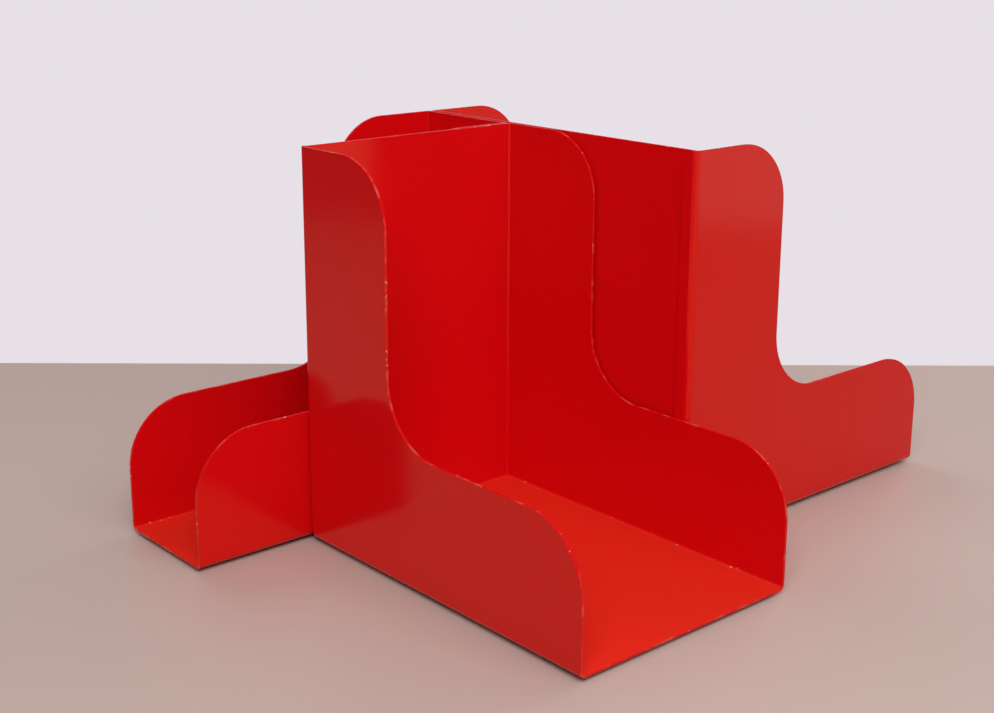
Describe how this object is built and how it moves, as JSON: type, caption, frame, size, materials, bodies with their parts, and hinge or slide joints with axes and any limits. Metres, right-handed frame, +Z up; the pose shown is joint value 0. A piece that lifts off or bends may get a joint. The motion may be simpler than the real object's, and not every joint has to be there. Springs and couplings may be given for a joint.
{
  "type": "record storage stand",
  "caption": "Red folded-steel stand for LP records: narrow, medium and wide trays set back to back round one corner, each open a different way.",
  "frame": {"origin": "centre of the stand's footprint, on the table", "axes": "+Z up; +X to the side where the wide tray opens; -Y to the side where the medium tray opens; -X to the side where the narrow tray opens"},
  "size_m": [0.592, 0.396, 0.303],
  "materials": {
    "red_lacquer": "semi-gloss stoving lacquer on folded sheet steel",
    "foot_pad": "matt black rubber"
  },
  "bodies": {
    "root": {"medium_tray": "red_lacquer", "medium_back_plate": "red_lacquer", "medium_foot_pads": "foot_pad", "narrow_tray": "red_lacquer", "narrow_back_plate": "red_lacquer", "narrow_foot_pads": "foot_pad", "wide_tray": "red_lacquer", "wide_back_plate": "red_lacquer", "wide_foot_pads": "foot_pad"}
  },
  "joints": []
}
